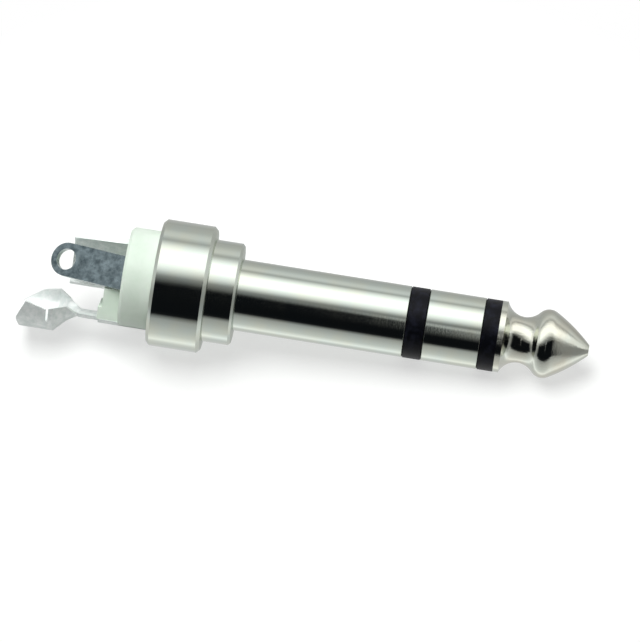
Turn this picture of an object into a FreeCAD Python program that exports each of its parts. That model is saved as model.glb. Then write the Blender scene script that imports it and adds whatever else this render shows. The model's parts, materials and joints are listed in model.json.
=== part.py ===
import FreeCAD, Part
import math
import os
import Sketcher

# A 6.35 mm stereo jack plug without its cover.
# Each piece is drawn on the plug's own axis, X, with the tip at +X and the ground lug at -Z.
# X = 0 is the rear face of the large collar. At the end the whole plug is laid on its side.

# Driving sizes in millimetres, and turns in degrees
SIZES = {
    # Turned outside, from the rear collar to the tip
    "collar_wall": 1.05,
    "collar_length": 4.8,
    "collar_chamfer": 0.3,
    "step_radius": 4.55,
    "step_length": 2.57,
    "step_chamfer": 0.2,
    "pin_radius": 3.175,
    "sleeve_length": 15.2,
    "ring_band_length": 1.57,
    "ring_length": 5.1,
    "tip_band_length": 1.39,
    "pin_chamfer": 0.12,
    # Head of the tip, measured from its rear face
    "tip_waist_place": 2.1,
    "tip_waist_radius": 2.05,
    "tip_ball_place": 4.3,
    "tip_ball_radius": 3.06,
    "tip_ball_curve": 1.2,
    "tip_flank_curve": 15.0,
    "tip_length": 8.1,
    "tip_end_radius": 0.48,
    # Rod, tubes and insulation inside the pin
    "rod_radius": 1.0,
    "rod_grip": 3.4,
    "rod_head_radius": 1.5,
    "rod_head_length": 0.32,
    "rod_tube_wall": 0.35,
    "ring_tube_wall": 0.5,
    "ring_lip": 0.35,
    "ring_lip_length": 0.25,
    "sleeve_tube_wall": 0.4,
    "spigot_length": 1.0,
    "fit_gap": 0.03,
    # White moulding that stands in the recess in the collar's rear face
    "moulding_gap": 0.1,
    "moulding_seat": 0.3,
    "moulding_length": 2.7,
    "moulding_edge": 0.25,
    "low_rib_length": 1.95,
    "low_rib_depth": 1.1,
    "high_rib_length": 1.6,
    "high_rib_depth": 1.75,
    "rib_half_width": 1.55,
    # Ground lug with its cable clamp
    "ground_sheet": 0.32,
    "ground_depth": 0.85,
    "ground_root_half_width": 1.6,
    "ground_root_end": 4.5,
    "ground_neck_half_width": 0.9,
    "ground_neck_end": 6.3,
    "ground_bend": 0.2,
    "throat_place": 7.4,
    "throat_radius": 1.38,
    "throat_depth": 3.1,
    "clamp_start": 8.4,
    "clamp_length": 3.25,
    "clamp_radius": 2.68,
    "clamp_depth": 2.8,
    "clamp_heel": 0.4,
    "clamp_heel_depth": 1.9,
    "shoulder_drop": 0.28,
    "shoulder_end_drop": 0.43,
    "slot_place": 0.45,
    "slot_width": 0.22,
    "slot_depth": 1.7,
    "near_wing_drop": 0.53,
    "near_wing_peak": 0.7,
    "near_wing_end_drop": 1.64,
    "far_wing_bend": 1.75,
    "far_wing_bend_drop": 0.25,
    "far_wing_bend_curve": 1.5,
    "far_wing_end_drop": 1.45,
    # Ring lug, a curved tab on the side away from the tip lug
    "ring_lug_sheet": 0.5,
    "ring_lug_place": 0.4,
    "ring_lug_clearance": 0.74,
    "ring_lug_gap": 0.25,
    "ring_lug_arc": 98.0,
    "ring_lug_end": 7.77,
    "ring_lug_narrowing": 0.4,
    "ring_lug_turn": -79.0,
    # Tip lug, a flat tab that leans in towards the plug's axis
    "tip_lug_sheet": 0.55,
    "tip_lug_place": 1.4,
    "tip_lug_stand": 2.3,
    "tip_lug_half_width": 1.5,
    "tip_lug_hole_place": 6.85,
    "tip_lug_hole_radius": 0.95,
    "tip_lug_lean_angle": 23.5,
    "tip_lug_slant_angle": 7.2,
    "tip_lug_turn": 68.7,
    # Turn of the loose plug about its axis, so that its weight hangs lowest
    "lie_turn": -30.0,
}

# Places along the axis, as sums of the sizes above
SLEEVE_REAR = "collar_length + step_length"
SLEEVE_FRONT = SLEEVE_REAR + " + sleeve_length"
RING_REAR = SLEEVE_FRONT + " + ring_band_length"
RING_FRONT = RING_REAR + " + ring_length"
TIP_REAR = RING_FRONT + " + tip_band_length"
TIP_FRONT = TIP_REAR + " + tip_length"
RECESS_FLOOR = "moulding_seat + ground_sheet"
RING_LUG_FRONT = "- ring_lug_place"
RING_LUG_REAR = RING_LUG_FRONT + " - ring_lug_sheet"
RING_LIP_REAR = RING_LUG_REAR + " - ring_lip_length"
TIP_LUG_FRONT = "- tip_lug_place"
TIP_LUG_REAR = TIP_LUG_FRONT + " - tip_lug_sheet"
ROD_REAR = TIP_LUG_REAR + " - rod_head_length"

# Radii inside the pin, from the rod outwards
ROD_BORE = "rod_radius + fit_gap"
ROD_TUBE_OUTSIDE = ROD_BORE + " + rod_tube_wall"
RING_BORE = ROD_TUBE_OUTSIDE + " + fit_gap"
RING_TUBE_OUTSIDE = RING_BORE + " + ring_tube_wall"
SLEEVE_TUBE_BORE = RING_TUBE_OUTSIDE + " + fit_gap"
SLEEVE_TUBE_OUTSIDE = SLEEVE_TUBE_BORE + " + sleeve_tube_wall"
SLEEVE_BORE = SLEEVE_TUBE_OUTSIDE + " + fit_gap"

# Radii behind the pin, from the ring tube's lip outwards to the collar that holds it all
RING_LIP = RING_TUBE_OUTSIDE + " + ring_lip"
RING_LUG_INSIDE = RING_LIP + " + ring_lug_clearance"
RING_LUG_OUTSIDE = RING_LUG_INSIDE + " + ring_lug_sheet"
GROUND_INSIDE = RING_LUG_OUTSIDE + " + ring_lug_gap"
GROUND_OUTSIDE = GROUND_INSIDE + " + ground_sheet"
RECESS = GROUND_INSIDE + " + ground_depth"
MOULDING = RECESS + " - moulding_gap"
COLLAR = RECESS + " + collar_wall"

doc = FreeCAD.newDocument("stereo_jack_plug")
sheet = doc.addObject("Spreadsheet::Sheet", "Dim")
for row, (size_name, size_value) in enumerate(SIZES.items(), start=1):
    sheet.set(f"A{row}", size_name)
    sheet.set(f"B{row}", str(size_value))
    sheet.setAlias(f"B{row}", size_name)
doc.recompute()


def amount(text):
    """Value of a sum of named sizes."""
    value = 0.0
    sign = 1
    for word in text.split():
        if word in ("+", "-"):
            sign = 1 if word == "+" else -1
        elif word != "0":
            value += sign * SIZES[word]
    return value


def opposite(text):
    """The same sum with every sign turned round."""
    turned_signs = {"+": "-", "-": "+"}
    return "- " + " ".join(turned_signs.get(word, word) for word in text.split())


def formula(text):
    """The same sum as a formula that reads the sheet."""
    plain = ("+", "-", "0")
    return " ".join(word if word in plain else "Dim." + word for word in text.split())


def new_body(label):
    """Start a sub-part."""
    body = doc.addObject("PartDesign::Body", label)
    body.Label = label
    return body


def new_sketch(body, name, plane, shift="0"):
    """Sketch on one of the body's own planes, moved by shift along the plane's normal."""
    sketch = body.newObject("Sketcher::SketchObject", name)
    for datum in body.Origin.OriginFeatures:
        if datum.Role == plane:
            sketch.AttachmentSupport = [(datum, "")]
    sketch.MapMode = "FlatFace"
    if shift != "0":
        sketch.setExpression(".AttachmentOffset.Base.z", formula(shift))
    return sketch


def hold(sketch, kind, curve, end, text):
    """Hold a point of a curve at a named distance from the sketch's origin."""
    if text == "0":
        axis = -2 if kind == "DistanceX" else -1
        sketch.addConstraint(Sketcher.Constraint("PointOnObject", curve, end, axis))
        return
    number = sketch.addConstraint(Sketcher.Constraint(kind, -1, 1, curve, end, amount(text)))
    sketch.setExpression(f"Constraints[{number}]", formula(text))


def hold_radius(sketch, curve, text):
    """Hold the radius of a circle or an arc."""
    number = sketch.addConstraint(Sketcher.Constraint("Radius", curve, amount(text)))
    sketch.setExpression(f"Constraints[{number}]", formula(text))


def join_ends(sketch, first, second):
    """Join the end of one curve to the start of the next."""
    sketch.addConstraint(Sketcher.Constraint("Coincident", first, 2, second, 1))


def draw_outline(sketch, corners):
    """Closed outline through corners, each a pair of sums with a rounding radius if it has one."""
    points = [FreeCAD.Vector(amount(corner[0]), amount(corner[1]), 0) for corner in corners]
    radii = [amount(corner[2]) if len(corner) > 2 else 0 for corner in corners]
    count = len(points)
    runs = [(points[(index + 1) % count] - points[index]).normalize() for index in range(count)]
    trims = []
    for index in range(count):
        half_turn = runs[index - 1].getAngle(runs[index]) / 2
        trims.append(radii[index] * math.tan(half_turn))
    for index in range(count):
        after = (index + 1) % count
        start = points[index] + runs[index] * trims[index]
        end = points[after] - runs[index] * trims[after]
        sketch.addGeometry(Part.LineSegment(start, end))
    for index, corner in enumerate(corners):
        before = (index - 1) % count
        if len(corner) == 2:
            join_ends(sketch, before, index)
            hold(sketch, "DistanceX", index, 1, corner[0])
            hold(sketch, "DistanceY", index, 1, corner[1])
        else:
            round_corner(sketch, before, index, points[index], corner)


def round_corner(sketch, before, after, point, corner):
    """Round the corner between two lines, whose meeting point stays held."""
    into = sketch.Geometry[before]
    out = sketch.Geometry[after]
    along_in = (into.EndPoint - into.StartPoint).normalize()
    along_out = (out.EndPoint - out.StartPoint).normalize()
    left = along_in.cross(along_out).z > 0
    side = FreeCAD.Vector(-along_in.y, along_in.x, 0) * (1 if left else -1)
    centre = into.EndPoint + side * amount(corner[2])
    first, last = (into.EndPoint, out.StartPoint) if left else (out.StartPoint, into.EndPoint)
    circle = Part.Circle(centre, FreeCAD.Vector(0, 0, 1), amount(corner[2]))
    arc = sketch.addGeometry(
        Part.ArcOfCircle(
            circle,
            math.atan2(first.y - centre.y, first.x - centre.x),
            math.atan2(last.y - centre.y, last.x - centre.x),
        )
    )
    meeting = sketch.addGeometry(Part.Point(point), True)
    hold(sketch, "DistanceX", meeting, 1, corner[0])
    hold(sketch, "DistanceY", meeting, 1, corner[1])
    for line in (before, after):
        sketch.addConstraint(Sketcher.Constraint("PointOnObject", meeting, 1, line))
    sketch.addConstraint(Sketcher.Constraint("Tangent", before, 2, arc, 1 if left else 2))
    sketch.addConstraint(Sketcher.Constraint("Tangent", after, 1, arc, 2 if left else 1))
    hold_radius(sketch, arc, corner[2])


def draw_circle(sketch, across, up, radius):
    """Circle about a centre given as a pair of sums."""
    centre = FreeCAD.Vector(amount(across), amount(up), 0)
    normal = FreeCAD.Vector(0, 0, 1)
    circle = sketch.addGeometry(Part.Circle(centre, normal, amount(radius)))
    hold(sketch, "DistanceX", circle, 3, across)
    hold(sketch, "DistanceY", circle, 3, up)
    hold_radius(sketch, circle, radius)


def add_pad(body, sketch, length, symmetric=False, reverse=False):
    """Pad a sketch by a named length."""
    pad = body.newObject("PartDesign::Pad", sketch.Name + "_pad")
    pad.Profile = sketch
    pad.SideType = "Symmetric" if symmetric else "One side"
    pad.Reversed = reverse
    pad.setExpression("Length", formula(length))
    return pad


def add_turning(body, sketch, arc=""):
    """Turn a sketch about its level axis, all the way or by a named arc to both sides."""
    turning = body.newObject("PartDesign::Revolution", sketch.Name + "_turning")
    turning.Profile = sketch
    turning.ReferenceAxis = (sketch, ["H_Axis"])
    turning.Angle = 360
    if arc:
        turning.Midplane = True
        turning.setExpression("Angle", formula(arc))
    return turning


def turned(label, corners):
    """Sub-part turned about the plug's axis from an outline of places and radii."""
    body = new_body(label)
    sketch = new_sketch(body, label + "_outline", "XZ_Plane")
    draw_outline(sketch, corners)
    add_turning(body, sketch)
    return body


def make_tube(label, rear, front, bore, outside):
    """Plain tube between two places on the axis."""
    return turned(label, [(rear, bore), (front, bore), (front, outside), (rear, outside)])


def make_tip_head():
    """Turned and plated head of the tip: shoulder, waist, ball and cone, with a blind bore."""
    body = new_body("tip_head")
    sketch = new_sketch(body, "tip_head_outline", "XZ_Plane")
    bore_end = TIP_REAR + " + rod_grip"
    waist_place = TIP_REAR + " + tip_waist_place"
    ball_place = TIP_REAR + " + tip_ball_place"
    ball_centre = "tip_ball_radius - tip_ball_curve"

    # The waist's arc touches the ball's arc, which sets the radius of the waist's arc.
    span = amount("tip_ball_place - tip_waist_place")
    rise = amount("tip_waist_radius - tip_ball_radius + tip_ball_curve")
    curve = amount("tip_ball_curve")
    waist_curve = (span**2 + rise**2 - curve**2) / (2 * (curve - rise))
    waist = FreeCAD.Vector(amount(waist_place), amount("tip_waist_radius") + waist_curve, 0)
    ball = FreeCAD.Vector(amount(ball_place), amount(ball_centre), 0)
    drop = waist.y - amount("pin_radius")
    shoulder = FreeCAD.Vector(waist.x - math.sqrt(waist_curve**2 - drop**2), waist.y - drop, 0)
    touch = ball + (waist - ball).normalize() * curve

    # The cone's flank bulges a little: it touches the ball and ends at the blunt point.
    point_top = FreeCAD.Vector(amount(TIP_FRONT), amount("tip_end_radius"), 0)
    flank_curve = amount("tip_flank_curve")
    away = point_top - ball
    reach = (away.Length**2 + flank_curve**2 - (flank_curve - curve) ** 2) / (2 * away.Length)
    aside = FreeCAD.Vector(away.y, -away.x, 0).normalize() * math.sqrt(flank_curve**2 - reach**2)
    flank = point_top - away.normalize() * reach + aside
    up = FreeCAD.Vector(0, 0, 1)

    corners = [
        FreeCAD.Vector(amount(TIP_FRONT), 0, 0),
        FreeCAD.Vector(amount(bore_end), 0, 0),
        FreeCAD.Vector(amount(bore_end), amount(ROD_BORE), 0),
        FreeCAD.Vector(amount(TIP_REAR), amount(ROD_BORE), 0),
        FreeCAD.Vector(amount(TIP_REAR), amount("pin_radius"), 0),
        shoulder,
    ]
    for start, end in zip(corners, corners[1:]):
        sketch.addGeometry(Part.LineSegment(start, end))
    waist_arc = sketch.addGeometry(
        Part.ArcOfCircle(
            Part.Circle(waist, up, waist_curve),
            math.atan2(shoulder.y - waist.y, shoulder.x - waist.x),
            math.atan2(touch.y - waist.y, touch.x - waist.x),
        )
    )
    ball_arc = sketch.addGeometry(
        Part.ArcOfCircle(
            Part.Circle(ball, up, curve),
            math.atan2(ball.y - flank.y, ball.x - flank.x),
            math.atan2(touch.y - ball.y, touch.x - ball.x),
        )
    )
    flank_arc = sketch.addGeometry(
        Part.ArcOfCircle(
            Part.Circle(flank, up, flank_curve),
            math.atan2(point_top.y - flank.y, point_top.x - flank.x),
            math.atan2(ball.y - flank.y, ball.x - flank.x),
        )
    )
    end_line = sketch.addGeometry(Part.LineSegment(point_top, corners[0]))

    for first in range(4):
        join_ends(sketch, first, first + 1)
    join_ends(sketch, 4, waist_arc)
    sketch.addConstraint(Sketcher.Constraint("Coincident", flank_arc, 1, end_line, 1))
    join_ends(sketch, end_line, 0)
    sketch.addConstraint(Sketcher.Constraint("Tangent", waist_arc, 2, ball_arc, 2))
    sketch.addConstraint(Sketcher.Constraint("Tangent", ball_arc, 1, flank_arc, 2))
    sketch.addConstraint(Sketcher.Constraint("Horizontal", 4))
    places = [
        (0, 1, TIP_FRONT, "0"),
        (1, 1, bore_end, "0"),
        (2, 1, bore_end, ROD_BORE),
        (3, 1, TIP_REAR, ROD_BORE),
        (4, 1, TIP_REAR, "pin_radius"),
        (ball_arc, 3, ball_place, ball_centre),
        (end_line, 1, TIP_FRONT, "tip_end_radius"),
    ]
    for curve_number, end, across, height in places:
        hold(sketch, "DistanceX", curve_number, end, across)
        hold(sketch, "DistanceY", curve_number, end, height)
    hold(sketch, "DistanceX", waist_arc, 3, waist_place)
    hold_radius(sketch, ball_arc, "tip_ball_curve")
    hold_radius(sketch, flank_arc, "tip_flank_curve")
    lowest = sketch.addGeometry(Part.Point(waist - FreeCAD.Vector(0, waist_curve, 0)), True)
    sketch.addConstraint(Sketcher.Constraint("PointOnObject", lowest, 1, waist_arc))
    hold(sketch, "DistanceX", lowest, 1, waist_place)
    hold(sketch, "DistanceY", lowest, 1, "tip_waist_radius")
    add_turning(body, sketch)
    return body


def make_tip_rod():
    """Rod from the tip to its lug, riveted over behind the lug."""
    front = TIP_REAR + " + rod_grip"
    return turned(
        "tip_rod",
        [
            (ROD_REAR, "0"),
            (front, "0"),
            (front, "rod_radius"),
            (TIP_LUG_REAR, "rod_radius"),
            (TIP_LUG_REAR, "rod_head_radius"),
            (ROD_REAR, "rod_head_radius"),
        ],
    )


def make_band(label, rear, front, bore, spigot):
    """Black insulating band with a spigot that reaches back into the piece behind it."""
    return turned(
        label,
        [
            (rear + " - spigot_length", bore),
            (front, bore),
            (front, "pin_radius"),
            (rear, "pin_radius"),
            (rear, spigot),
            (rear + " - spigot_length", spigot),
        ],
    )


def make_ring_contact():
    """Ring and its tube, turned as one piece, with a lip rolled over the ring lug."""
    return turned(
        "ring_contact",
        [
            (RING_LIP_REAR, RING_BORE),
            (RING_FRONT, RING_BORE),
            (RING_FRONT, "pin_radius - pin_chamfer"),
            (RING_FRONT + " - pin_chamfer", "pin_radius"),
            (RING_REAR + " + pin_chamfer", "pin_radius"),
            (RING_REAR, "pin_radius - pin_chamfer"),
            (RING_REAR, RING_TUBE_OUTSIDE),
            (RING_LUG_REAR, RING_TUBE_OUTSIDE),
            (RING_LUG_REAR, RING_LIP),
            (RING_LIP_REAR, RING_LIP),
        ],
    )


def make_sleeve_body():
    """Sleeve and two-step collar, turned as one piece, with a recess in its rear face."""
    return turned(
        "sleeve_body",
        [
            (RECESS_FLOOR, SLEEVE_BORE),
            (SLEEVE_FRONT, SLEEVE_BORE),
            (SLEEVE_FRONT, "pin_radius - pin_chamfer"),
            (SLEEVE_FRONT + " - pin_chamfer", "pin_radius"),
            (SLEEVE_REAR, "pin_radius"),
            (SLEEVE_REAR, "step_radius - step_chamfer"),
            (SLEEVE_REAR + " - step_chamfer", "step_radius"),
            ("collar_length", "step_radius"),
            ("collar_length", COLLAR + " - collar_chamfer"),
            ("collar_length - collar_chamfer", COLLAR),
            ("collar_chamfer", COLLAR),
            ("0", COLLAR + " - collar_chamfer"),
            ("0", RECESS),
            (RECESS_FLOOR, RECESS),
        ],
    )


def make_ground_lug():
    """Stamped lug: washer in the collar's recess, strip, neck and a rolled cable clamp."""
    body = new_body("ground_lug")
    below_inner = opposite(GROUND_INSIDE)
    below_outer = opposite(GROUND_OUTSIDE)

    washer = new_sketch(body, "ground_washer", "YZ_Plane", "moulding_seat")
    draw_circle(washer, "0", "0", GROUND_INSIDE + " - ground_bend")
    draw_circle(washer, "0", "0", SLEEVE_BORE)
    add_pad(body, washer, "ground_sheet")

    strip = new_sketch(body, "ground_strip", "XZ_Plane")
    draw_outline(
        strip,
        [
            ("moulding_seat", below_inner + " + ground_bend + ground_sheet"),
            ("moulding_seat", below_inner, "ground_bend"),
            ("- ground_root_end", below_inner),
            ("- ground_root_end", below_outer),
            (RECESS_FLOOR, below_outer, "ground_bend + ground_sheet"),
            (RECESS_FLOOR, below_inner + " + ground_bend + ground_sheet"),
        ],
    )
    add_pad(body, strip, "ground_root_half_width + ground_root_half_width", symmetric=True)

    neck = new_sketch(body, "ground_neck", "XZ_Plane")
    draw_outline(
        neck,
        [
            ("- ground_root_end", below_inner),
            ("- ground_neck_end", below_inner),
            ("- ground_neck_end", below_outer),
            ("- ground_root_end", below_outer),
        ],
    )
    add_pad(body, neck, "ground_neck_half_width + ground_neck_half_width", symmetric=True)

    flat = new_sketch(body, "clamp_shoulder_flat", "YZ_Plane", "- ground_neck_end")
    draw_outline(
        flat,
        [
            ("- ground_neck_half_width", below_inner),
            ("- ground_neck_half_width", below_outer),
            ("ground_neck_half_width", below_outer),
            ("ground_neck_half_width", below_inner),
        ],
    )
    throat = new_sketch(body, "clamp_shoulder_throat", "YZ_Plane", "- throat_place")
    draw_trough(throat, "throat_radius", "- throat_depth")
    rolled = new_sketch(body, "clamp_shoulder_rolled", "YZ_Plane", "- clamp_start")
    draw_trough(rolled, "clamp_radius", "- clamp_depth")
    shoulder = body.newObject("PartDesign::AdditiveLoft", "clamp_shoulder")
    shoulder.Profile = flat
    shoulder.Sections = [throat, rolled]
    shoulder.Ruled = True

    trough = new_sketch(body, "clamp_trough", "YZ_Plane", "- clamp_start")
    draw_trough(trough, "clamp_radius", "- clamp_depth")
    add_pad(body, trough, "clamp_length", reverse=True)
    trim_wings(body)
    return body


def trim_wings(body):
    """Trim the clamp: a slot and a peaked top on the near wing, a falling top on the far one."""
    top = "- clamp_depth"
    above = top + " + ground_sheet"
    end = "- clamp_start - clamp_length"
    behind = end + " - ground_sheet"
    slot_front = "- clamp_start - slot_place"
    slot_rear = slot_front + " - slot_width"
    near = new_sketch(body, "near_wing_top", "XZ_Plane")
    draw_outline(
        near,
        [
            ("- throat_place", above),
            (behind, above),
            (behind, top + " - near_wing_end_drop"),
            (end, top + " - near_wing_end_drop"),
            (end + " + near_wing_peak", top),
            (slot_rear, top + " - near_wing_drop"),
            (slot_rear, top + " - slot_depth"),
            (slot_front, top + " - slot_depth"),
            (slot_front, top + " - shoulder_end_drop"),
            ("- clamp_start", top + " - shoulder_drop"),
            ("- throat_place", top + " - shoulder_drop"),
        ],
    )
    far = new_sketch(body, "far_wing_top", "XZ_Plane")
    draw_outline(
        far,
        [
            ("- clamp_start", above),
            (behind, above),
            (behind, top + " - far_wing_end_drop"),
            (end, top + " - far_wing_end_drop"),
            (end + " + far_wing_bend", top + " - far_wing_bend_drop", "far_wing_bend_curve"),
            ("- clamp_start", top),
        ],
    )
    heel = new_sketch(body, "clamp_heel_corner", "XZ_Plane")
    heel_bottom = top + " - clamp_radius - ground_sheet - ground_sheet"
    draw_outline(
        heel,
        [
            (end, top + " - clamp_heel_depth"),
            (behind, top + " - clamp_heel_depth"),
            (behind, heel_bottom),
            (end + " + clamp_heel", heel_bottom),
        ],
    )
    width = formula("clamp_radius + clamp_radius + clamp_radius")
    for sketch, side in ((near, "One side"), (far, "One side"), (heel, "Symmetric")):
        cut = body.newObject("PartDesign::Pocket", sketch.Name + "_cut")
        cut.Profile = sketch
        cut.SideType = side
        cut.Reversed = sketch is near
        cut.setExpression("Length", width)


def draw_trough(sketch, inner_radius, centre_place):
    """Half-round trough of the cable clamp, open towards the plug's axis."""
    outer_radius = inner_radius + " + ground_sheet"
    centre = FreeCAD.Vector(0, amount(centre_place), 0)
    normal = FreeCAD.Vector(0, 0, 1)
    across = FreeCAD.Vector(1, 0, 0)
    inner = amount(inner_radius)
    outer = amount(outer_radius)
    left = sketch.addGeometry(Part.LineSegment(centre - across * inner, centre - across * outer))
    outside = sketch.addGeometry(
        Part.ArcOfCircle(Part.Circle(centre, normal, outer), math.pi, 2 * math.pi)
    )
    right = sketch.addGeometry(Part.LineSegment(centre + across * outer, centre + across * inner))
    inside = sketch.addGeometry(
        Part.ArcOfCircle(Part.Circle(centre, normal, inner), math.pi, 2 * math.pi)
    )
    join_ends(sketch, left, outside)
    join_ends(sketch, outside, right)
    sketch.addConstraint(Sketcher.Constraint("Coincident", right, 2, inside, 2))
    sketch.addConstraint(Sketcher.Constraint("Coincident", inside, 1, left, 1))
    sketch.addConstraint(Sketcher.Constraint("Coincident", inside, 3, outside, 3))
    sketch.addConstraint(Sketcher.Constraint("Horizontal", left))
    sketch.addConstraint(Sketcher.Constraint("Horizontal", right))
    sketch.addConstraint(Sketcher.Constraint("Horizontal", left, 1, right, 2))
    hold(sketch, "DistanceX", outside, 3, "0")
    hold(sketch, "DistanceY", outside, 3, centre_place)
    hold(sketch, "DistanceY", left, 1, centre_place)
    hold_radius(sketch, inside, inner_radius)
    hold_radius(sketch, outside, outer_radius)


def make_ring_lug():
    """Lug under the ring tube's lip: a washer with a curved tab that stands up from its edge."""
    body = new_body("ring_lug")
    washer = new_sketch(body, "ring_washer", "YZ_Plane", RING_LUG_REAR)
    draw_circle(washer, "0", "0", RING_LUG_OUTSIDE)
    draw_circle(washer, "0", "0", SLEEVE_TUBE_BORE)
    add_pad(body, washer, "ring_lug_sheet")

    tab = new_sketch(body, "ring_tab", "XZ_Plane")
    draw_outline(
        tab,
        [
            (RING_LUG_FRONT, RING_LUG_INSIDE),
            ("- ring_lug_end", RING_LUG_INSIDE),
            ("- ring_lug_end", RING_LUG_OUTSIDE),
            (RING_LUG_FRONT, RING_LUG_OUTSIDE),
        ],
    )
    add_turning(body, tab, "ring_lug_arc")

    doc.recompute()
    upper_edge = FreeCAD.Placement(
        FreeCAD.Vector(0, 0, 0), FreeCAD.Rotation(FreeCAD.Vector(1, 0, 0), amount("ring_lug_arc") / 2)
    )
    taper = new_sketch(body, "ring_tab_taper", "XY_Plane")
    taper.AttachmentOffset = upper_edge
    taper.setExpression(".AttachmentOffset.Rotation.Angle", "Dim.ring_lug_arc / 2 * 1 deg")
    start = "- moulding_length"
    draw_outline(taper, [(start, "0"), ("- ring_lug_end", "ring_lug_narrowing"), ("- ring_lug_end", "0")])
    cut = body.newObject("PartDesign::Pocket", "ring_tab_taper_cut")
    cut.Profile = taper
    cut.Reversed = True
    cut.setExpression("Length", formula(RING_LUG_OUTSIDE))
    return body


def make_tip_lug():
    """Lug under the rod's riveted head: a washer and a flat leaning tab with a wire hole."""
    body = new_body("tip_lug")
    washer = new_sketch(body, "tip_washer", "YZ_Plane", TIP_LUG_REAR)
    draw_circle(washer, "0", "0", "tip_lug_stand")
    draw_circle(washer, "0", "0", ROD_BORE)
    add_pad(body, washer, "tip_lug_sheet")

    foot = new_sketch(body, "tip_foot", "YZ_Plane", TIP_LUG_REAR)
    draw_outline(
        foot,
        [
            ("- tip_lug_half_width", "rod_head_radius"),
            ("tip_lug_half_width", "rod_head_radius"),
            ("tip_lug_half_width", "tip_lug_stand"),
            ("- tip_lug_half_width", "tip_lug_stand"),
        ],
    )
    add_pad(body, foot, "tip_lug_sheet")

    tab = new_sketch(body, "tip_tab", "XY_Plane", "tip_lug_stand")
    tab.setExpression(".AttachmentOffset.Base.x", formula(TIP_LUG_REAR))
    tab.setExpression(".AttachmentOffset.Rotation.Pitch", "- Dim.tip_lug_lean_angle * 1 deg")
    tab.setExpression(".AttachmentOffset.Rotation.Yaw", "- Dim.tip_lug_slant_angle * 1 deg")
    half = amount("tip_lug_half_width")
    end = amount("- tip_lug_hole_place")
    root_near = FreeCAD.Vector(0, -half, 0)
    root_far = FreeCAD.Vector(0, half, 0)
    end_near = FreeCAD.Vector(end, -half, 0)
    end_far = FreeCAD.Vector(end, half, 0)
    centre = FreeCAD.Vector(end, 0, 0)
    circle = Part.Circle(centre, FreeCAD.Vector(0, 0, 1), half)
    root = tab.addGeometry(Part.LineSegment(root_near, root_far))
    far = tab.addGeometry(Part.LineSegment(root_far, end_far))
    nose = tab.addGeometry(Part.ArcOfCircle(circle, math.pi / 2, 3 * math.pi / 2))
    near = tab.addGeometry(Part.LineSegment(end_near, root_near))
    join_ends(tab, root, far)
    join_ends(tab, near, root)
    tab.addConstraint(Sketcher.Constraint("Tangent", far, 2, nose, 1))
    tab.addConstraint(Sketcher.Constraint("Tangent", nose, 2, near, 1))
    tab.addConstraint(Sketcher.Constraint("Horizontal", far))
    hold(tab, "DistanceX", root, 1, "0")
    hold(tab, "DistanceX", root, 2, "0")
    hold(tab, "DistanceX", nose, 3, "- tip_lug_hole_place")
    hold(tab, "DistanceY", nose, 3, "0")
    hold_radius(tab, nose, "tip_lug_half_width")
    draw_circle(tab, "- tip_lug_hole_place", "0", "tip_lug_hole_radius")
    add_pad(body, tab, "tip_lug_sheet", reverse=True)
    return body


def make_moulding_blank():
    """White moulding before the lugs are let into it: stepped disc, bore and two ribs."""
    body = new_body("moulding_blank")
    outline = new_sketch(body, "moulding_outline", "XZ_Plane")
    lip = RING_LIP + " + fit_gap"
    rod_head = "rod_head_radius + fit_gap"
    rear = "- moulding_length"
    draw_outline(
        outline,
        [
            (rear, "0"),
            (ROD_REAR, "0"),
            (ROD_REAR, rod_head),
            (TIP_LUG_REAR, rod_head),
            (TIP_LUG_REAR, ROD_BORE),
            (TIP_LUG_FRONT, ROD_BORE),
            (TIP_LUG_FRONT, RING_BORE),
            (RING_LIP_REAR, RING_BORE),
            (RING_LIP_REAR, lip),
            (RING_LUG_REAR, lip),
            (RING_LUG_REAR, SLEEVE_TUBE_BORE),
            (RING_LUG_FRONT, SLEEVE_TUBE_BORE),
            (RING_LUG_FRONT, SLEEVE_BORE),
            ("moulding_seat", SLEEVE_BORE),
            ("moulding_seat", MOULDING),
            (rear + " + moulding_edge", MOULDING),
            (rear, MOULDING + " - moulding_edge"),
        ],
    )
    add_turning(body, outline)

    flat_place = opposite(GROUND_INSIDE)
    flat = new_sketch(body, "moulding_flat", "XZ_Plane")
    draw_outline(
        flat,
        [
            ("moulding_seat", flat_place + " + ground_bend"),
            ("moulding_seat - ground_bend", flat_place),
            (rear, flat_place),
            (rear, opposite(MOULDING)),
            ("moulding_seat", opposite(MOULDING)),
        ],
    )
    cut = body.newObject("PartDesign::Pocket", "moulding_flat_cut")
    cut.Profile = flat
    cut.Type = "ThroughAll"
    cut.SideType = "Symmetric"

    low_top = flat_place + " + low_rib_depth"
    high_top = low_top + " + high_rib_depth"
    for name, length, top, bottom in (
        ("low_rib", "low_rib_length", low_top, flat_place),
        ("high_rib", "high_rib_length", high_top, low_top),
    ):
        rib = new_sketch(body, name, "XZ_Plane")
        end = rear + " - " + length
        draw_outline(rib, [(rear, top), (end, top), (end, bottom), (rear, bottom)])
        add_pad(body, rib, "rib_half_width + rib_half_width", symmetric=True)
    return body


def make_rear_moulding(blank, ring_lug, tip_lug):
    """White moulding cast around the two inner lugs, which leave their own shape in it."""
    lugs = doc.addObject("Part::MultiFuse", "lugs_in_moulding")
    lugs.Shapes = [ring_lug, tip_lug]
    moulding = doc.addObject("Part::Cut", "rear_moulding")
    moulding.Label = "rear_moulding"
    moulding.Base = blank
    moulding.Tool = lugs
    return moulding


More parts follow.
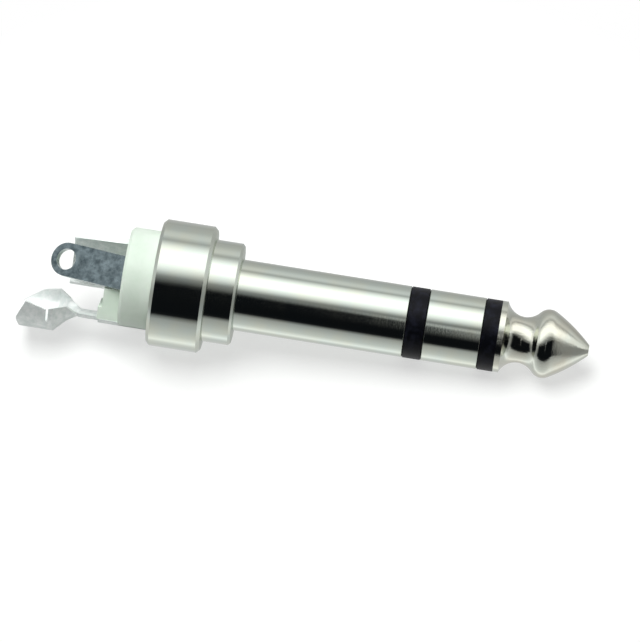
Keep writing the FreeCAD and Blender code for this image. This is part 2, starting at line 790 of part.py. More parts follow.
def nose_down():
    """Angle at which the plug lies on the front edge of its collar and the ball of its tip."""
    edge = FreeCAD.Vector(amount("collar_length - collar_chamfer"), -amount(COLLAR), 0)
    ball = FreeCAD.Vector(
        amount(TIP_REAR + " + tip_ball_place"), -amount("tip_ball_radius - tip_ball_curve"), 0
    )
    run = ball - edge
    return math.degrees(
        math.atan2(run.y, run.x) - math.asin(amount("tip_ball_curve") / run.Length)
    )


def main():
    blank = make_moulding_blank()
    ring_lug = make_ring_lug()
    tip_lug = make_tip_lug()
    turns = {"ring_lug": amount("ring_lug_turn"), "tip_lug": amount("tip_lug_turn")}
    placed = [
        make_tip_head(),
        make_tip_rod(),
        make_band("tip_band", RING_FRONT, TIP_REAR, ROD_BORE, ROD_TUBE_OUTSIDE),
        make_tube(
            "rod_tube",
            TIP_LUG_FRONT,
            RING_FRONT + " - spigot_length",
            ROD_BORE,
            ROD_TUBE_OUTSIDE,
        ),
        make_ring_contact(),
        make_band("ring_band", SLEEVE_FRONT, RING_REAR, SLEEVE_TUBE_BORE, SLEEVE_TUBE_OUTSIDE),
        make_tube(
            "sleeve_tube",
            RING_LUG_FRONT,
            SLEEVE_FRONT + " - spigot_length",
            SLEEVE_TUBE_BORE,
            SLEEVE_TUBE_OUTSIDE,
        ),
        make_sleeve_body(),
        make_ground_lug(),
        ring_lug,
        tip_lug,
    ]
    moulding = make_rear_moulding(blank, ring_lug, tip_lug)
    pieces = placed + [moulding]

    # Lay the plug on its side, then bring the middle of its box over the origin.
    about_axis = FreeCAD.Vector(1, 0, 0)
    about_side = FreeCAD.Vector(0, 1, 0)
    tilt = FreeCAD.Rotation(about_side, nose_down())
    lie = tilt.multiply(FreeCAD.Rotation(about_axis, amount("lie_turn")))
    origin = FreeCAD.Vector(0, 0, 0)

    def place_all(base):
        rest = FreeCAD.Placement(base, lie)
        for piece in placed + [blank]:
            own = FreeCAD.Rotation(about_axis, turns.get(piece.Label, 0))
            piece.Placement = rest.multiply(FreeCAD.Placement(origin, own))
        doc.recompute()

    place_all(origin)
    box = Part.makeCompound([piece.Shape for piece in pieces]).optimalBoundingBox(False, False)
    place_all(FreeCAD.Vector(-box.Center.x, -box.Center.y, -box.ZMin))

    for item in doc.Objects:
        if "Invalid" in item.State or "Error" in item.State:
            raise RuntimeError(f"{item.Label} failed: {item.State}")
    for piece in pieces:
        if piece.Shape.isNull() or not piece.Shape.isValid():
            raise RuntimeError(f"{piece.Label} has no valid shape")
    os.makedirs("parts", exist_ok=True)
    for piece in pieces:
        piece.Shape.exportStep(f"parts/{piece.Label}.step")
        print(f"{piece.Label}: {piece.Shape.Volume:.2f} mm3, {len(piece.Shape.Solids)} solid")


main()
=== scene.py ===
# %% [markdown]
# # A stereo jack plug without its cover
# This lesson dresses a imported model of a 6.35 mm stereo jack plug. The real plug is a nickel-plated pin in
# three contacts, with black rings between them, and bare solder lugs behind a stepped collar. Its form
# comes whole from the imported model. What is left is what the eye reads as metal and plastic: finish, light
# and view.

import json
import math

import bpy
from mathutils import Matrix, Vector

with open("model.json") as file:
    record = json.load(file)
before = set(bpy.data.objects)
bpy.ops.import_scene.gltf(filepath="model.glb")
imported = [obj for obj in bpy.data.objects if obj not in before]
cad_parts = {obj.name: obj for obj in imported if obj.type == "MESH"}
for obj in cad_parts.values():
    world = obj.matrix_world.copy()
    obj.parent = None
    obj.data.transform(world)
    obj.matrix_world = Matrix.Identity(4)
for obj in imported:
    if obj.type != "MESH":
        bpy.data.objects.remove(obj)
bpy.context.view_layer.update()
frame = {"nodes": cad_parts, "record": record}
nodes = frame["nodes"]
print("nodes:", sorted(nodes))

# %% [markdown]
# The plug lies on its collar and its tip, so its axis is not level, and the turning marks and the grain
# follow that axis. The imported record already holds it: the mount called plug_pin gives a point on the
# pin's axis and the way that the tip points. Reading it there keeps the scene true to the model if it is
# tilted another way.

# %% Find the plug's own axis
pin_mount = next(mount for mount in frame["record"]["mounts"] if mount["name"] == "plug_pin")
pin_point = Vector(pin_mount["pos_m"])
pin_way = Vector(pin_mount["axis"]).normalized()
side_way = Vector((0, 1, 0))
rise_way = pin_way.cross(side_way)
room_to_plug = Matrix((pin_way, side_way, rise_way))
plug_turn = room_to_plug.to_euler()
plug_shift = -(room_to_plug @ pin_point)
print("tip points", round(math.degrees(math.asin(-pin_way.z)), 2), "degrees below the level")

# %% [markdown]
# A colour given here is an sRGB value, while a shader works with linear light. One function turns the
# hex code into linear numbers, so that each colour below can be written as the eye knows it. A second one
# adds a shader node with its settings, its colour stops and its links, which keeps each material short
# enough to read in one go. It leaves the sockets to a third, because the surface of a material is filled
# in last, when all that feeds it is there.

# %% Helpers for materials
WHITE = "#FFFFFF"


def linear(code):
    """Linear colour with full alpha from an sRGB hex code such as #C8C4BA."""
    parts = [int(code[place : place + 2], 16) / 255 for place in (1, 3, 5)]
    return (*(p / 12.92 if p <= 0.04045 else ((p + 0.055) / 1.055) ** 2.4 for p in parts), 1)


def fill(node, **sockets):
    """Give sockets a link or a value by name, with _ for a space, or by identifier, such as Value_001."""
    for name, value in sockets.items():
        spaced = name.replace("_", " ")
        socket = next(s for s in node.inputs if s.identifier == name or s.name == spaced)
        if isinstance(value, bpy.types.NodeSocket):
            node.id_data.links.new(value, socket)
        else:
            socket.default_value = value


def add(tree, kind, settings=None, stops=(), **sockets):
    """Add a shader node with its settings, its colour stops and what its sockets take."""
    node = tree.nodes.new("ShaderNode" + kind)
    for name, value in (settings or {}).items():
        setattr(node, name, value)
    if stops:
        marks = node.color_ramp.elements
        while len(marks) < len(stops):
            marks.new(0.5)
        for mark, (place, colour) in zip(marks, stops):
            mark.position = place
            mark.color = colour
    fill(node, **sockets)
    return node


def new_material(name):
    """Empty material with its output and a principled surface."""
    material = bpy.data.materials.new(name)
    material.use_nodes = True
    tree = material.node_tree
    tree.nodes.clear()
    surface = add(tree, "BsdfPrincipled")
    add(tree, "OutputMaterial", Surface=surface.outputs["BSDF"])
    return material, tree, surface


print("white is", linear(WHITE)[:3])

# %% [markdown]
# A pattern needs a place to start from. The CAD pieces sit at the scene's origin, so object coordinates
# are metres in the room. A Mapping node turns them into millimetres along the plug: X runs from collar to
# tip. Two finishes also depend on which way the surface looks, such as along the pin, so a second function
# compares the surface's normal with a way.

# %% Place and direction on the plug
MM_PER_M = 1000


def plug_millimetres(tree):
    """Socket with the place in millimetres in the plug's own axes."""
    place = add(tree, "TexCoord").outputs["Object"]
    turned = add(tree, "Mapping", Vector=place, Rotation=plug_turn, Location=plug_shift).outputs[0]
    return add(tree, "VectorMath", {"operation": "SCALE"}, Vector=turned, Scale=MM_PER_M).outputs[0]


def squareness(tree, way):
    """Socket with how squarely the surface looks along a way, from 0 to 1."""
    normal = add(tree, "TexCoord").outputs["Normal"]
    facing = add(tree, "VectorMath", {"operation": "DOT_PRODUCT"}, Vector=normal, Vector_001=way)
    return add(tree, "Math", {"operation": "ABSOLUTE"}, Value=facing.outputs["Value"]).outputs[0]


print("patterns start", [round(part * MM_PER_M, 2) for part in pin_point], "mm from the room's origin")

# %% [markdown]
# ## Nickel plate on turned brass
# The pin's three contacts are brass, turned on a lathe and plated with bright nickel. Nickel is a slightly
# warm grey, and under this studio's cool lamps it reads a little green. Polished plate mirrors the studio
# as long bands. Three small things break them up: the lathe's feed leaves rings around the axis, polishing
# along the pin leaves long low swells that make the bands' edges waver, and the plate itself is faintly
# pitted. The real feed is near 0.05 mm and the pits are finer still, too fine to show here, so they are
# drawn at 0.2 mm and 0.16 mm and kept very shallow. Heights go to the Bump nodes in metres.

# %% Marks of the lathe
FEED_MM = 0.2


def feed_rings(tree, place):
    """Socket with the rings that the lathe's feed leaves around the pin."""
    along = add(tree, "SeparateXYZ", Vector=place).outputs["X"]
    rings = add(tree, "TexNoise", {"noise_dimensions": "1D"}, W=along, Scale=1 / FEED_MM, Detail=2.0)
    return rings.outputs["Fac"]


print("feed rings every", FEED_MM, "mm")

# %% [markdown]
# The plate's tint and gloss also drift a little from place to place. The shoulders of the collar were faced
# with a plain tool and hardly polished, so where the surface looks along the pin it is rougher and only
# gives a blurred image.

# %% Nickel plate
PIT_MM = 0.16
SWELL_MM = 1.7
SWELL_STRETCH = 0.08  # along the pin, which makes a swell 12 times as long as it is wide
CLOUD_MM = 2.0  # patches of slightly different tint and gloss
TINT_LOW, TINT_HIGH = 0.35, 0.65  # the noise seldom leaves this range
GLOSS_LOW, GLOSS_HIGH = 0.3, 0.7
SHINIEST, DULLEST = 0.8, 1.3  # shares of the roughness given
SHOULDER_START, SHOULDER_FULL = 0.5, 0.8  # how squarely a shoulder looks along the pin


def nickel(name, tint, warm_tint, roughness, faced, feed_m, pit_m, swell_m):
    """Metal with feed rings, pits and swells of the heights given, rougher by faced where it was faced."""
    material, tree, surface = new_material(name)
    place = plug_millimetres(tree)
    cloud = add(tree, "TexNoise", Vector=place, Scale=1 / CLOUD_MM, Detail=3.0).outputs["Fac"]
    tints = (TINT_LOW, linear(tint)), (TINT_HIGH, linear(warm_tint))
    tone = add(tree, "ValToRGB", stops=tints, Fac=cloud).outputs["Color"]
    soft = add(tree, "MapRange", Value=cloud, From_Min=GLOSS_LOW, From_Max=GLOSS_HIGH)
    fill(soft, To_Min=roughness * SHINIEST, To_Max=roughness * DULLEST)
    shoulder = add(tree, "MapRange", Value=squareness(tree, pin_way), To_Max=faced)
    fill(shoulder, From_Min=SHOULDER_START, From_Max=SHOULDER_FULL)
    rough = add(tree, "Math", {"operation": "ADD"}, Value=soft.outputs[0], Value_001=shoulder.outputs[0])
    long_way = add(tree, "VectorMath", {"operation": "MULTIPLY"}, Vector=place)
    fill(long_way, Vector_001=(SWELL_STRETCH, 1.0, 1.0))
    swell = add(tree, "TexNoise", Vector=long_way.outputs[0], Scale=1 / SWELL_MM, Detail=1.0)
    pits = add(tree, "TexNoise", Vector=place, Scale=1 / PIT_MM, Detail=1.0)
    lie = add(tree, "Bump", Distance=swell_m, Height=swell.outputs["Fac"]).outputs["Normal"]
    lie = add(tree, "Bump", Distance=pit_m, Height=pits.outputs["Fac"], Normal=lie).outputs["Normal"]
    lie = add(tree, "Bump", Distance=feed_m, Height=feed_rings(tree, place), Normal=lie).outputs["Normal"]
    fill(surface, Base_Color=tone, Metallic=1.0, Roughness=rough.outputs[0], Normal=lie)
    return material


print("pits of", PIT_MM, "mm, swells of", SWELL_MM, "mm")

# %% [markdown]
# Three finishes come from this one function. Ring, sleeve and collar are polished. The tip is rubbed by
# every spring it passes, so its plate is warmer, duller and more pitted, and its shoulders are polished like
# the rest. The steel rod inside shows nowhere and gets a dull grey.

# %% Bright nickel, worn nickel and steel
turned_nickel = nickel(
    "bright_nickel_on_turned_brass",
    "#C7D0C8",
    "#CCD1C4",
    roughness=0.055,
    faced=0.35,
    feed_m=2.5e-7,
    pit_m=8e-7,
    swell_m=3.5e-5,
)
worn_nickel = nickel(
    "worn_nickel_on_turned_tip",
    "#CBD0C6",
    "#CAC9BB",
    roughness=0.085,
    faced=0.0,
    feed_m=4e-7,
    pit_m=6e-6,
    swell_m=3e-5,
)
rod_steel = nickel(
    "drawn_steel_rod",
    "#B4B4B0",
    "#BDB9B0",
    roughness=0.3,
    faced=0.0,
    feed_m=4e-6,
    pit_m=2e-6,
    swell_m=1e-6,
)
print("metals:", turned_nickel.name, worn_nickel.name, rod_steel.name)

# %% [markdown]
# ## Tin on stamped brass
# The lugs are stamped from brass strip and dipped in tin, so that solder takes to them. Dipped tin is
# whiter than nickel and not polished: the melt freezes in blotches, some shiny and some dull, over faint
# lines from the rolled strip. So the colour and the roughness both change from blotch to blotch, and the
# mirror image of the studio is spread wide. A fresh dip is so finely frosted that it looks more like pale
# paint than like a mirror, and the value called bare says how much of it still shows as plain metal. Real
# rolling lines are a few hundredths of a millimetre wide. They are drawn at 0.12 mm so that they show.

# %% Dipped tin
BLOTCH_MM = 0.55
BLOTCH_LOW, BLOTCH_HIGH = 0.36, 0.64  # the noise seldom leaves this range
BLOTCH_HEIGHT_M = 6e-6
ROLLED_LINE_MM = 0.12
ROLLED_LINE_STRETCH = 0.06  # along the plug, which makes a line 17 times as long as it is wide
ROLLED_LINE_HEIGHT_M = 1.5e-6


def tin(name, light, dark, shiny, dull, bare):
    """Tin in blotches from light to dark; returns the material, its tree, surface and colour socket."""
    material, tree, surface = new_material(name)
    place = plug_millimetres(tree)
    blotch = add(tree, "TexNoise", Vector=place, Scale=1 / BLOTCH_MM, Detail=4.0, Roughness=0.65).outputs[0]
    tints = (BLOTCH_LOW, linear(dark)), (BLOTCH_HIGH, linear(light))
    tone = add(tree, "ValToRGB", stops=tints, Fac=blotch).outputs["Color"]
    soft = add(tree, "MapRange", Value=blotch, From_Min=BLOTCH_LOW, From_Max=BLOTCH_HIGH)
    fill(soft, To_Min=dull, To_Max=shiny)
    rolled = add(tree, "VectorMath", {"operation": "MULTIPLY"}, Vector=place)
    fill(rolled, Vector_001=(ROLLED_LINE_STRETCH, 1.0, 1.0))
    lines = add(tree, "TexNoise", Vector=rolled.outputs[0], Scale=1 / ROLLED_LINE_MM, Detail=1.0).outputs[0]
    lie = add(tree, "Bump", Distance=BLOTCH_HEIGHT_M, Height=blotch).outputs["Normal"]
    lie = add(tree, "Bump", Distance=ROLLED_LINE_HEIGHT_M, Height=lines, Normal=lie).outputs["Normal"]
    fill(surface, Base_Color=tone, Metallic=bare, Roughness=soft.outputs["Result"], Normal=lie)
    return material, tree, surface, tone


bright_tin = tin("bright_tin_on_stamped_brass", "#F8FCFA", "#E2EAE7", shiny=0.32, dull=0.5, bare=0.3)[0]
print("tin blotches of", BLOTCH_MM, "mm, rolled lines of", ROLLED_LINE_MM, "mm")

# %% [markdown]
# The flat lug in front has a painted dark reflection on its two faces: they look towards the dark room in
# front, and that dark is painted into their colour as a mottled grey, while the sheared edges keep the
# tin's own colour. The faces are told from the edges by the surface's own direction: the widest face of
# the lug gives the direction, and where a point looks that way the dark reflection is painted.

# %% Tin with a painted dark reflection on the flat lug
MOTTLE_MM = 0.625
MOTTLE_LOW, MOTTLE_HIGH = 0.35, 0.68
FACE_START, FACE_FULL = 0.85, 0.97  # how squarely a point looks out of the lug's face
tip_lug_mesh = nodes["tip_lug"].data
tip_lug_face = max(tip_lug_mesh.polygons, key=lambda polygon: polygon.area).normal.copy()
dark_tin, tree, surface, plain_tin_tone = tin(
    "tin_on_flat_lug_painted_dark_by_reflection", "#E2EAE7", "#BEC8C6", shiny=0.26, dull=0.42, bare=1.0
)
place = plug_millimetres(tree)
# Mottled dark greys: the painted reflection of the dark room on the lug's faces
reflection_mottle = add(tree, "TexNoise", Vector=place, Scale=1 / MOTTLE_MM, Detail=5.0, Roughness=0.7).outputs["Fac"]
painted_reflection_stops = (MOTTLE_LOW, linear("#434E52")), (MOTTLE_HIGH, linear("#727F83"))
mirrored_room_paint = add(tree, "ValToRGB", stops=painted_reflection_stops, Fac=reflection_mottle).outputs["Color"]
# Mask for the painted dark reflection: where a point looks out of the lug's face
painted_face_mask = add(tree, "MapRange", Value=squareness(tree, tip_lug_face))
fill(painted_face_mask, From_Min=FACE_START, From_Max=FACE_FULL)
lug_colour_with_painted_reflection = add(tree, "Mix", {"data_type": "RGBA"}, A_Color=plain_tin_tone, B_Color=mirrored_room_paint)
fill(lug_colour_with_painted_reflection, Factor_Float=painted_face_mask.outputs["Result"])
fill(surface, Base_Color=next(out for out in lug_colour_with_painted_reflection.outputs if out.identifier == "Result_Color"))
print("flat lug's face looks along", [round(part, 2) for part in tip_lug_face])

# %% [markdown]
# ## Black nylon bands
# The two rings between the contacts are hard black nylon, turned flush with the metal in the same cut, so
# they carry the same feed rings. They are nearly black with a cold cast. The tool leaves them finely matt,
# so they mirror the softbox only faintly, and a few paler smears show where metal was dragged over them.
# The two tubes that insulate the contacts inside the pin are of the same nylon.

# %% Black nylon
SMEAR_MM = 0.714
SMEAR_LOW, SMEAR_HIGH = 0.45, 0.75
NYLON_FEED_HEIGHT_M = 4e-6
black_nylon, tree, surface = new_material("black_nylon_turned")
place = plug_millimetres(tree)
smear = add(tree, "TexNoise", Vector=place, Scale=1 / SMEAR_MM, Detail=4.0).outputs["Fac"]
tints = (SMEAR_LOW, linear("#07080D")), (SMEAR_HIGH, linear("#1B1D28"))
tone = add(tree, "ValToRGB", stops=tints, Fac=smear).outputs["Color"]
lie = add(tree, "Bump", Distance=NYLON_FEED_HEIGHT_M, Height=feed_rings(tree, place)).outputs["Normal"]
fill(surface, Base_Color=tone, Roughness=0.42, IOR=1.5, Specular_IOR_Level=0.13, Normal=lie)
print("black nylon with smears of", SMEAR_MM, "mm")

# %% [markdown]
# ## White moulding
# The disc behind the collar is undyed nylon, cast around the lugs. Undyed nylon is not pure white: it
# leans to green in cool light. Light enters it a little way before it comes back, which softens its
# shadows, and the steel mould leaves a fine even grain and faint flow marks, a shade darker or lighter.
# The mould's own grain is about ten times finer than the 0.2 mm drawn here, which is the least that shows.

# %% Undyed nylon
FLOW_MM = 2.22
FLOW_LOW, FLOW_HIGH = 0.3, 0.7
GRAIN_MM = 0.2
GRAIN_HEIGHT_M = 3e-6
LIGHT_REACH_M = (0.0005, 0.0006, 0.0005)  # how far red, green and blue light travel inside
white_nylon, tree, surface = new_material("undyed_nylon_moulded")
place = plug_millimetres(tree)
flow = add(tree, "TexNoise", Vector=place, Scale=1 / FLOW_MM, Detail=3.0, Distortion=0.6).outputs["Fac"]
grain = add(tree, "TexNoise", Vector=place, Scale=1 / GRAIN_MM, Detail=3.0).outputs["Fac"]
tints = (FLOW_LOW, linear("#D8E7D8")), (FLOW_HIGH, linear("#E4F0E4"))
tone = add(tree, "ValToRGB", stops=tints, Fac=flow).outputs["Color"]
lie = add(tree, "Bump", Distance=GRAIN_HEIGHT_M, Height=grain).outputs["Normal"]
fill(surface, Base_Color=tone, Roughness=0.42, IOR=1.53, Normal=lie)
fill(surface, Subsurface_Weight=0.2, Subsurface_Radius=LIGHT_REACH_M, Subsurface_Scale=1.0)
print("undyed nylon with flow marks of", FLOW_MM, "mm")

# %% [markdown]
# Each piece takes the finish of what it is made from. The mesh that comes with the model is split along
# its sharp edges, so it is first welded in a modifier, then shaded smooth and split again only where the
# surface turns sharply. The model's own points are not touched.

# %% Dress the pieces
FINISH = {
    "tip_head": worn_nickel,
    "ring_contact": turned_nickel,
    "sleeve_body": turned_nickel,
    "tip_rod": rod_steel,
    "ground_lug": bright_tin,
    "ring_lug": bright_tin,
    "tip_lug": dark_tin,
    "tip_band": black_nylon,
    "ring_band": black_nylon,
    "rod_tube": black_nylon,
    "sleeve_tube": black_nylon,
    "rear_moulding": white_nylon,
}
WELD_M = 2e-7
SHARP_TURN = math.radians(28)
for name, material in FINISH.items():
    piece = nodes[name]
    piece.data.materials.clear()
    piece.data.materials.append(material)
    piece.data.polygons.foreach_set("use_smooth", [True] * len(piece.data.polygons))
    weld = piece.modifiers.new("weld", "WELD")
    weld.merge_threshold = WELD_M
    split = piece.modifiers.new("sharp_edges", "EDGE_SPLIT")
    split.split_angle = SHARP_TURN
    print(name, len(piece.data.polygons), "faces,", material.name)

# %% [markdown]
# ## The table
# The plug lies on a pale sheet that takes its soft shadow. The photograph's ground is white with hardly
# any shadow. Making the sheet itself that white would throw too much light up at the plug's underside, so
# it is a pale grey, and only the camera sees it lifted by a plain glow, which also thins the shadow. Far
# from the plug the camera sees plain white, so the sheet's edge never shows. Metal mirrors the sheet as
# part of the studio below, so mirrored rays pass the sheet by.

# %% White sheet
SHEET_HALF_M = 0.4
SQUARE = ((-1, -1), (1, -1), (1, 1), (-1, 1))
corners = [(across * SHEET_HALF_M, deep * SHEET_HALF_M, 0) for across, deep in SQUARE]
sheet_mesh = bpy.data.meshes.new("sheet")
sheet_mesh.from_pydata(corners, [], [(0, 1, 2, 3)])
sheet = bpy.data.objects.new("white_sheet", sheet_mesh)
bpy.context.scene.collection.objects.link(sheet)
sheet.visible_glossy = False
print("sheet", 2 * SHEET_HALF_M, "m wide")

# %% [markdown]
# The sheet is matt paper. Which shader a ray meets is chosen by the Light Path node: light that bounces
# meets the grey paper alone, and the camera's own rays meet the lifted one.

# %% Matt paper
LIFT = 0.58
FADE_START_M, FADE_END_M = 0.03, 0.05  # from the middle of the plug
paper = bpy.data.materials.new("white_paper")
paper.use_nodes = True
tree = paper.node_tree
tree.nodes.clear()
matt = add(tree, "BsdfDiffuse", Color=linear("#B4B6B4")).outputs[0]
glow = add(tree, "Emission", Color=linear(WHITE), Strength=LIFT).outputs[0]
lifted = add(tree, "AddShader", Shader=matt, Shader_001=glow).outputs[0]
white = add(tree, "Emission", Color=linear(WHITE), Strength=1.0).outputs[0]
spot = add(tree, "TexCoord").outputs["Object"]
far = add(tree, "VectorMath", {"operation": "LENGTH"}, Vector=spot).outputs["Value"]
fade = add(tree, "MapRange", Value=far, From_Min=FADE_START_M, From_Max=FADE_END_M).outputs["Result"]
seen = add(tree, "MixShader", Fac=fade, Shader=lifted, Shader_001=white).outputs[0]
by_camera = add(tree, "LightPath").outputs["Is Camera Ray"]
either = add(tree, "MixShader", Fac=by_camera, Shader=matt, Shader_001=seen).outputs[0]
add(tree, "OutputMaterial", Surface=either)
sheet_mesh.materials.append(paper)
print("paper fades to white from", FADE_START_M, "to", FADE_END_M, "m")

# %% [markdown]
# ## The studio
# Bright metal has no colour of its own to speak of: it shows the room. On a round pin the room reads as a
# fan of tones about the pin's direction: 0 degrees is level towards the viewer, 90 is straight up, 180 is
# level behind and -90 is straight down. A wide softbox overhead gives the bright band, the wall behind it
# the grey edge above, the dark room in front the black band, and the lit sheet the grey below it. At its
# two ends the room has plainer, dimmer walls.

# %% The room as the metal sees it
ROOM = (
    (-180, 0.52),  # the wall behind, down to where it meets the sheet
    (-150, 0.58),
    (-126, 0.67),
    (-97, 0.74),  # the sheet under the plug, in its shadow
    (-90, 0.84),
    (-79, 1.28),  # the sheet in front, which dims towards the viewer
    (-60, 0.84),
    (-34, 0.58),
    (-24, 0.47),
    (-13, 0.01),  # the dark room in front
    (-6, 0.004),
    (43, 0.004),
    (47, 0.03),
    (51, 0.15),  # the softbox, with its soft near edge
    (60, 0.38),
    (72, 1.15),
    (84, 1.8),
    (108, 1.8),
    (120, 1.23),
    (128, 0.80),
    (133, 0.55),  # the wall behind, with a pale strip
    (143, 0.86),
    (150, 0.84),
    (164, 0.64),
    (176, 0.57),
)
END_WALLS = (
    (-180, 0.5),  # the lower wall behind
    (-75, 0.42),  # the sheet
    (-40, 0.32),  # the wall in front
    (20, 0.32),
    (50, 0.5),  # the ceiling, lit by the softbox
    (84, 1.2),
    (130, 1.1),
    (170, 0.6),  # the wall behind
)
print("fan of", len(ROOM), "tones for the room and", len(END_WALLS), "for its ends")

# %% [markdown]
# The fan needs the angle of each ray about the pin. The softbox hangs a little askew: towards the tip its
# edges sit further back. The pin can't show it, because all its mirrored rays leave square to its axis,
# but the tip's ball and cone mirror the room from end to end. How far a ray leans along the pin turns the
# fan by that share of the slant.

# %% Angle of a ray about the pin
SLANT = math.radians(20)
SLANT_START, SLANT_FULL = 0.0, math.radians(50)
world = bpy.data.worlds.new("studio")
bpy.context.scene.world = world
world.use_nodes = True
tree = world.node_tree
tree.nodes.clear()
direction = add(tree, "TexCoord").outputs["Generated"]
way = add(tree, "SeparateXYZ", Vector=direction)
to_viewer = add(tree, "Math", {"operation": "MULTIPLY"}, Value=way.outputs["Y"], Value_001=-1.0)
angle = add(tree, "Math", {"operation": "ARCTAN2"}, Value=way.outputs["Z"])
fill(angle, Value_001=to_viewer.outputs[0])
lean = add(tree, "VectorMath", {"operation": "DOT_PRODUCT"}, Vector=direction, Vector_001=pin_way)
lean_size = add(tree, "Math", {"operation": "ABSOLUTE"}, Value=lean.outputs["Value"]).outputs[0]
slant = add(tree, "MapRange", Value=angle.outputs[0], From_Min=SLANT_START, From_Max=SLANT_FULL)
fill(slant, To_Max=-SLANT)
askew = add(tree, "Math", {"operation": "MULTIPLY_ADD"}, Value=slant.outputs["Result"])
fill(askew, Value_001=lean.outputs["Value"], Value_002=angle.outputs[0])
turn = add(tree, "MapRange", Value=askew.outputs[0], From_Min=-math.pi, From_Max=math.pi).outputs[0]
print("slant", round(math.degrees(SLANT)), "degrees")

# %% [markdown]
# A colour ramp holds one fan, and rays that leave nearly along the pin change over to the fan of the end
# walls. A ramp stops at 1, while a softbox is brighter than white paper. So the ramp holds each tone as a
# share of the brightest, and the strength of its Background node brings them back to their level.

# %% Room and end walls
END_START, END_FULL = 0.78, 0.93  # how squarely a ray leaves along the pin
SMOOTH = {"interpolation_type": "SMOOTHSTEP"}


def brightest(tones):
    """Highest tone of a fan."""
    return max(tone for _, tone in tones)


def fan_of_tones(tones, strength):
    """Background in tones about the pin's direction, from pairs of degrees and tones."""
    top = brightest(tones)
    stops = [((degrees + 180) / 360, (tone / top, tone / top, tone / top, 1)) for degrees, tone in tones]
    fan = add(tree, "ValToRGB", stops=stops, Fac=turn).outputs["Color"]
    return add(tree, "Background", Color=fan, Strength=strength).outputs[0]


at_end = add(tree, "MapRange", SMOOTH, Value=lean_size, From_Min=END_START, From_Max=END_FULL)
mirrored = add(tree, "MixShader", Fac=at_end.outputs["Result"], Shader=fan_of_tones(ROOM, brightest(ROOM)))
fill(mirrored, Shader_001=fan_of_tones(END_WALLS, brightest(END_WALLS)))
print("brightest tones", brightest(ROOM), "and", brightest(END_WALLS))

# %% [markdown]
# Two pale things stand in the dark room in front: the lens, and lower down the one who holds it. Only metal
# that faces the lens squarely mirrors them back, so they show as narrow streaks on the pin, and the glow
# ends where a ray leans out of their reach.

# %% The pale shapes in front
LENS_GLOW = ((-180, 0), (38, 0), (43, 0.12), (46, 0.52), (50, 0.52), (56, 0))
LENS_REACH = 0.055
BODY_GLOW = ((-180, 0), (12, 0), (18, 0.07), (24, 0.2), (33, 0.38), (42, 0.4), (50, 0))
BODY_REACH = 0.028
for glow, reach in ((LENS_GLOW, LENS_REACH), (BODY_GLOW, BODY_REACH)):
    share = add(tree, "MapRange", SMOOTH, Value=lean_size, From_Min=0.0, From_Max=reach)
    fill(share, To_Min=brightest(glow), To_Max=0.0)
    pale = fan_of_tones(glow, share.outputs["Result"])
    mirrored = add(tree, "AddShader", Shader=mirrored.outputs[0], Shader_001=pale)
print("lens glow", brightest(LENS_GLOW), "and body glow", brightest(BODY_GLOW))

# %% [markdown]
# Only mirrored rays see the fan, with a trace of cold light in its black parts. Plain light from all sides
# lights the plastic and the paper, and the camera sees white.

# %% What each ray sees of the studio
PLAIN_LIGHT = 0.2
cold = add(tree, "Background", Color=linear("#05080D"), Strength=1.0).outputs[0]
with_cold = add(tree, "AddShader", Shader=mirrored.outputs[0], Shader_001=cold).outputs[0]
plain = add(tree, "Background", Color=linear(WHITE), Strength=PLAIN_LIGHT).outputs[0]
backdrop = add(tree, "Background", Color=linear(WHITE), Strength=1.0).outputs[0]
rays = add(tree, "LightPath")
lit = add(tree, "MixShader", Fac=rays.outputs["Is Glossy Ray"], Shader=plain, Shader_001=with_cold)
seen = add(tree, "MixShader", Fac=rays.outputs["Is Camera Ray"], Shader=lit.outputs[0], Shader_001=backdrop)
add(tree, "OutputWorld", Surface=seen.outputs[0])
print("plain light at", PLAIN_LIGHT)

# %% [markdown]
# The softbox itself gives the plastic its shading and the sheet its soft shadow. It hangs above the plug, a
# little towards the lugs. Its mirror image is already in the fan, so mirrored rays pass it by.

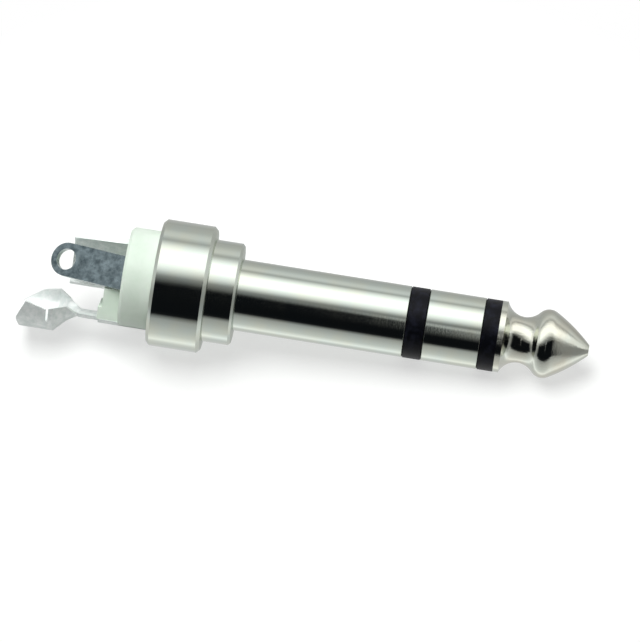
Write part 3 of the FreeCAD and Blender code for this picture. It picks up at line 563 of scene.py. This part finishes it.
# %% Softbox
SOFTBOX_PLACE = Vector((-0.05, 0.0, 0.25))
SOFTBOX_AIM = Vector((0, 0, 0.006))  # the middle of the plug
SOFTBOX_LENGTH_M, SOFTBOX_WIDTH_M = 0.24, 0.16
SOFTBOX_WATTS = 0.74
softbox = bpy.data.lights.new("softbox", "AREA")
softbox.shape = "RECTANGLE"
softbox.size, softbox.size_y = SOFTBOX_LENGTH_M, SOFTBOX_WIDTH_M
softbox.energy = SOFTBOX_WATTS
softbox_object = bpy.data.objects.new("softbox", softbox)
softbox_object.location = SOFTBOX_PLACE
softbox_object.rotation_euler = (SOFTBOX_AIM - SOFTBOX_PLACE).to_track_quat("-Z", "Y").to_euler()
softbox_object.visible_glossy = False
bpy.context.scene.collection.objects.link(softbox_object)
print("softbox", SOFTBOX_WATTS, "W")

# %% [markdown]
# ## The view
# The photograph is taken from half a metre or so with a long lens, 45 degrees above the table and a little
# from the tip's side. The lens follows from the scale: 11.3 pixels of the 642-pixel frame for a millimetre.
# The camera keeps this direction and is moved sideways until the middle of the plug falls on the pixel
# where the photograph has it.

# %% Camera
AZIMUTH = math.radians(7.93)
ELEVATION = math.radians(45.0)
DISTANCE_M = 0.5
FOCAL_PIXELS = 5668.0
FRAME_W, FRAME_H = 640, 642
SENSOR_MM = 36.0
NEAREST_M = 0.01
PLUG_MIDDLE = pin_point + Vector((-0.00575, 0, 0.0016))  # from the mount's point on the axis
MIDDLE_X, MIDDLE_Y = 306.0, 296.7
level_way = Vector((-math.sin(AZIMUTH), math.cos(AZIMUTH), 0))
look = level_way * math.cos(ELEVATION) - Vector((0, 0, math.sin(ELEVATION)))
right = Vector((math.cos(AZIMUTH), math.sin(AZIMUTH), 0))
up = right.cross(look)
pixel_m = DISTANCE_M / FOCAL_PIXELS
aim = PLUG_MIDDLE + (right * (FRAME_W / 2 - MIDDLE_X) - up * (FRAME_H / 2 - MIDDLE_Y)) * pixel_m
lens = bpy.data.cameras.new("camera")
lens.sensor_width = SENSOR_MM
lens.lens = SENSOR_MM * FOCAL_PIXELS / max(FRAME_W, FRAME_H)
lens.clip_start = NEAREST_M
camera = bpy.data.objects.new("camera", lens)
camera_turn = Matrix((right, up, -look)).transposed().to_4x4()
camera.matrix_world = Matrix.Translation(aim - look * DISTANCE_M) @ camera_turn
bpy.context.scene.collection.objects.link(camera)
bpy.context.scene.camera = camera
bpy.context.scene.view_settings.view_transform = "Standard"
print("lens", round(lens.lens, 1), "mm")

# %% [markdown]
# Every finish here is a matter of shading and adds no size.

# %% The end
print("every finish is shading and adds no size")
